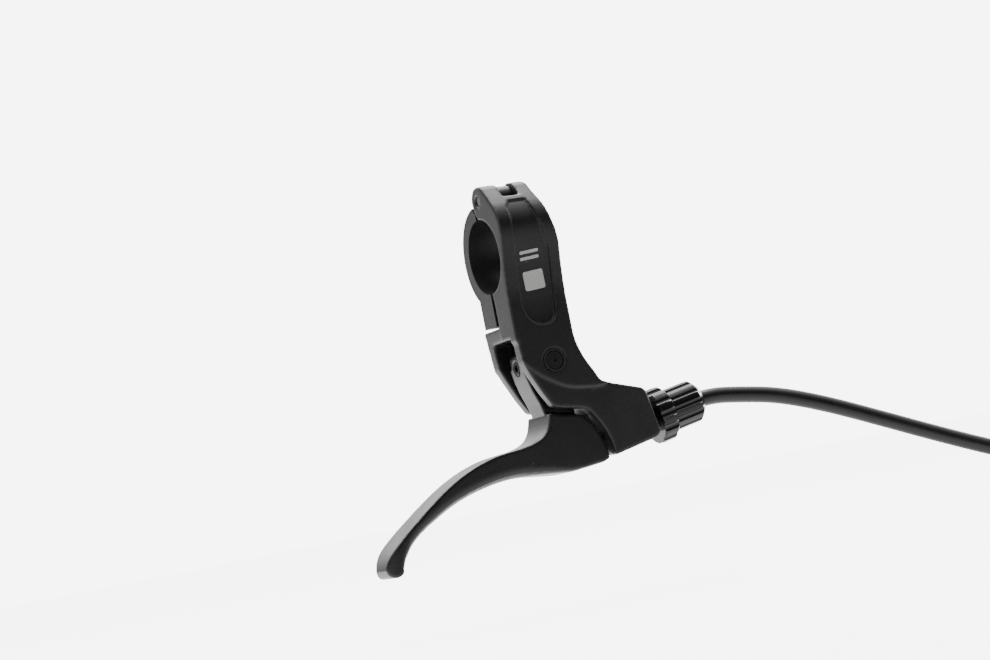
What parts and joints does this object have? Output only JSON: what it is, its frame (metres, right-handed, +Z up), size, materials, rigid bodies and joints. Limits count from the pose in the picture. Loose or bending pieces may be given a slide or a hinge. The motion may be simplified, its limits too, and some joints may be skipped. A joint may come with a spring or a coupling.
{
  "type": "bicycle brake lever",
  "caption": "Forged hand brake lever on a hinged handlebar clamp bracket, with a barrel adjuster, lock ring and coiled cable.",
  "frame": {"origin": "on the axis of the handlebar clamp bore, 7.8 mm from the clamp's outboard side", "axes": "+X along the handlebar towards its middle, +Z up with the lever blade hanging to -Z, -Y the front face of the bracket"},
  "size_m": [0.2976, 0.0612, 0.1255],
  "materials": {
    "forged_black": "satin black anodised",
    "lever_black": "satin black anodised",
    "pin_steel": "plain steel",
    "bolt_black": "black oxide",
    "badge": "satin grey",
    "pin_black": "black oxide",
    "bush_black": "moulded",
    "spring_steel": "spring wire",
    "wire_steel": "stranded",
    "crimp_alloy": "plain",
    "ring_black": "gloss black anodised",
    "adjuster_black": "gloss black anodised",
    "ferrule_black": "moulded",
    "housing_black": "satin liner",
    "tie_black": "moulded"
  },
  "bodies": {
    "bracket": {"bracket": "forged_black", "clamp_hinge_pin": "pin_steel", "pivot_bushes": "bush_black", "thrust_washers": "bush_black", "badge_plate": "badge", "badge_stripes": "badge", "return_spring": "spring_steel"},
    "clamp_band": {"clamp_band": "forged_black"},
    "clamp_washer": {"clamp_washer": "bolt_black"},
    "clamp_bolt": {"clamp_bolt": "bolt_black"},
    "lever": {"lever": "lever_black", "pivot_pin": "pin_black", "pin_grub_screw": "bolt_black", "cable_nipple": "pin_steel", "inner_wire": "wire_steel"},
    "lock_ring": {"lock_ring": "ring_black"},
    "cable": {"lever_ferrule": "ferrule_black", "cable_housing": "housing_black", "cable_coil": "housing_black", "coil_tie": "tie_black", "brake_end_ferrule": "ferrule_black"},
    "adjuster": {"barrel_adjuster": "adjuster_black"},
    "wire_tail": {"brake_end_wire": "wire_steel", "wire_end_crimp": "crimp_alloy"}
  },
  "joints": [
    {"name": "lever_pivot", "type": "hinge", "parent": "bracket", "child": "lever", "pos_m": [0.003, 0, -0.034], "axis": [0, 1, 0], "range_deg": [0, 28], "stiffness_Nm_per_rad": 0.12, "springref_deg": -20.05, "deforming": ["return_spring", "inner_wire"]},
    {"name": "clamp_open", "type": "hinge", "parent": "bracket", "child": "clamp_band", "pos_m": [0, -0.0025, 0.0162], "axis": [1, 0, 0], "range_deg": [0, 3.01]},
    {"name": "clamp_bolt_travel", "type": "slide", "parent": "bracket", "child": "clamp_washer", "axis": [0, 1, 0], "range_m": [0, 0.00198]},
    {"name": "clamp_bolt_turn", "type": "hinge", "parent": "clamp_washer", "child": "clamp_bolt", "pos_m": [0, 0.01, -0.0162], "axis": [0, 1, 0], "range_deg": [0, 891]},
    {"name": "lock_ring_travel", "type": "slide", "parent": "bracket", "child": "lock_ring", "axis": [0.9833, 0, 0.1822], "range_m": [-0.0022, 0]},
    {"name": "adjuster_travel", "type": "slide", "parent": "bracket", "child": "cable", "axis": [0.9833, 0, 0.1822], "range_m": [0, 0.00401]},
    {"name": "adjuster_turn", "type": "hinge", "parent": "cable", "child": "adjuster", "pos_m": [0.0332, 0, -0.0559], "axis": [0.9833, 0, 0.1822], "range_deg": [0, 1443.7]},
    {"name": "wire_pull", "type": "slide", "parent": "cable", "child": "wire_tail", "axis": [-0.7071, -0.7071, 0], "range_m": [0, 0.0132]}
  ],
  "couplings": [
    {"joint": "clamp_open", "follows": "clamp_bolt_travel", "rad_per_m": 26.456},
    {"joint": "clamp_bolt_turn", "follows": "clamp_bolt_travel", "rad_per_m": 7854},
    {"joint": "adjuster_turn", "follows": "adjuster_travel", "rad_per_m": 6283.2},
    {"joint": "wire_pull", "follows": "lever_pivot", "m_per_rad": 0.0268}
  ]
}
